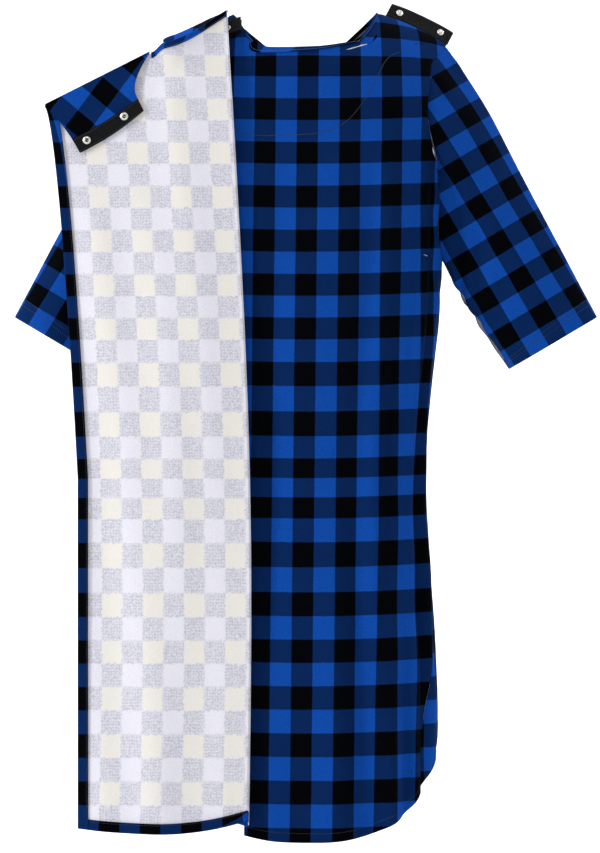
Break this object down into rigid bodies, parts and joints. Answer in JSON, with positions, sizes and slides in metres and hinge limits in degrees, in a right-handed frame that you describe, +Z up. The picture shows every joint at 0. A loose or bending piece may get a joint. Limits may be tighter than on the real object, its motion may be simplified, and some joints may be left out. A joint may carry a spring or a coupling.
{
  "type": "patient gown",
  "caption": "Open-back patient gown in check flannel with short sleeves, snap-tape shoulders and a lapped back panel folded open.",
  "frame": {"origin": "midway between the two neck points of the shoulder seams, on the shoulder seam's line", "axes": "+Z up along the wearer, +X to the wearer's right, -Y out of the wearer's back"},
  "size_m": [0.7874, 0.1895, 1.1293],
  "materials": {
    "check_flannel": "brushed, printed in blue and black checks",
    "flannel_wrong_side": "brushed, pale wrong side of the print",
    "snap_tape": "woven twill tape",
    "snap_metal": "pressed nickel-plated brass"
  },
  "bodies": {
    "torso": {"front_panel": "check_flannel", "under_panel": "check_flannel", "over_panel_base": "check_flannel", "front_hem": "check_flannel", "under_hem": "check_flannel", "under_side_hem": "check_flannel", "base_hem": "check_flannel", "front_neck_binding": "check_flannel", "under_neck_binding": "check_flannel", "half_moon_facing": "check_flannel", "under_panel_tape": "snap_tape", "left_shoulder_tape": "snap_tape", "left_socket_ring_1": "snap_metal", "left_socket_ring_2": "snap_metal", "left_socket_1": "snap_metal", "left_socket_2": "snap_metal", "left_stud_1": "snap_metal", "left_stud_2": "snap_metal", "left_stud_ring_1": "snap_metal", "left_stud_ring_2": "snap_metal"},
    "over_leaf": {"over_panel_leaf": "flannel_wrong_side", "leaf_side_hem": "check_flannel", "leaf_bottom_hem": "check_flannel", "leaf_neck_binding": "check_flannel"},
    "shoulder_flap": {"over_panel_flap": "check_flannel", "flap_tape": "snap_tape", "flap_socket_1": "snap_metal", "flap_socket_2": "snap_metal", "flap_spring_1": "snap_metal", "flap_spring_2": "snap_metal", "flap_socket_ring_1": "snap_metal", "flap_socket_ring_2": "snap_metal"},
    "right_tape_tab": {"right_shoulder_tape": "snap_tape", "right_stud_1": "snap_metal", "right_stud_2": "snap_metal", "right_stud_ring_1": "snap_metal", "right_stud_ring_2": "snap_metal"},
    "right_arm": {"right_sleeve": "check_flannel", "right_cuff_hem": "check_flannel"},
    "left_arm": {"left_sleeve": "check_flannel", "left_cuff_hem": "check_flannel"}
  },
  "joints": [
    {"name": "leaf_fold", "type": "hinge", "parent": "torso", "child": "over_leaf", "pos_m": [-0.084, -0.0945, -0.55], "axis": [-0.0109, 0, 0.9999], "range_deg": [0, 175]},
    {"name": "flap_crease", "type": "hinge", "parent": "over_leaf", "child": "shoulder_flap", "pos_m": [-0.349, -0.0878, -0.128], "axis": [-0.8932, 0.0517, -0.4466], "range_deg": [0, 135]},
    {"name": "shoulder_tab", "type": "hinge", "parent": "torso", "child": "right_tape_tab", "pos_m": [0.108, 0, -0.00192], "axis": [0.9105, 0, -0.4135], "range_deg": [0, 36]},
    {"name": "right_sleeve_raise", "type": "hinge", "parent": "torso", "child": "right_arm", "pos_m": [0.19, 0, -0.043], "axis": [0, -1, 0], "range_deg": [0, 40]},
    {"name": "left_sleeve_raise", "type": "hinge", "parent": "torso", "child": "left_arm", "pos_m": [-0.19, 0, -0.043], "axis": [0, 1, 0], "range_deg": [0, 40]}
  ]
}
